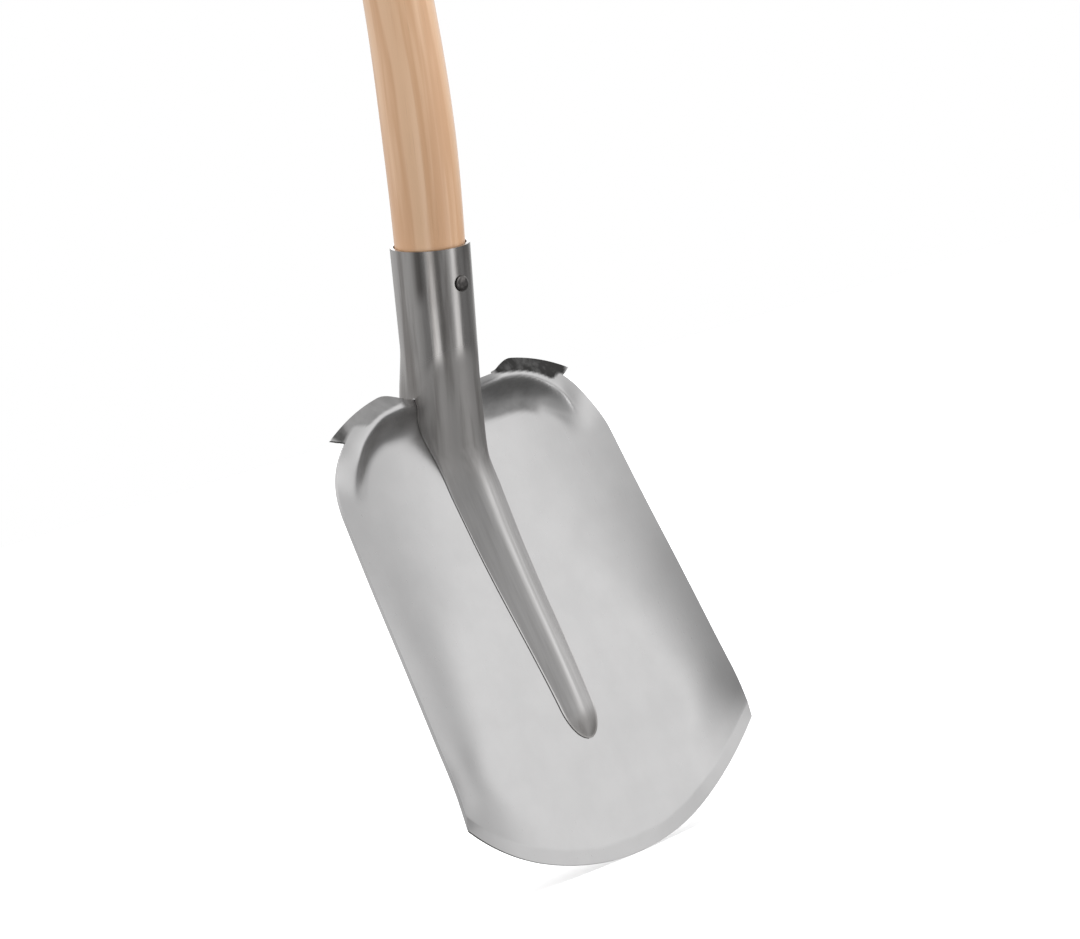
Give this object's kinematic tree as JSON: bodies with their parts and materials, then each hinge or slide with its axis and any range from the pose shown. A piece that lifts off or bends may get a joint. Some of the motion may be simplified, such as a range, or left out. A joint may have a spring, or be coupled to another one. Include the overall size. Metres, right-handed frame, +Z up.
{
  "type": "shovel",
  "caption": "Round-cornered sand shovel: dished steel blade with treads, a rolled socket that runs on as a rib, and a long curved wooden handle.",
  "frame": {"origin": "centre of the underside of the bounding box, level with the tip of the cutting edge", "axes": "+Z up along the long straight stretch of the handle, -Y towards the viewer of the blade's dished face, +X to the right of that viewer"},
  "size_m": [0.2396, 0.1132, 1.5891],
  "materials": {
    "polished_steel": "polished, with a faint grain",
    "forged_steel": "dark, bare, slightly glossy",
    "ash_wood": "smooth, thinly varnished",
    "nail_steel": "bare, dark"
  },
  "bodies": {
    "root": {"blade": "polished_steel", "socket": "forged_steel", "handle": "ash_wood", "nail": "nail_steel"}
  },
  "joints": []
}
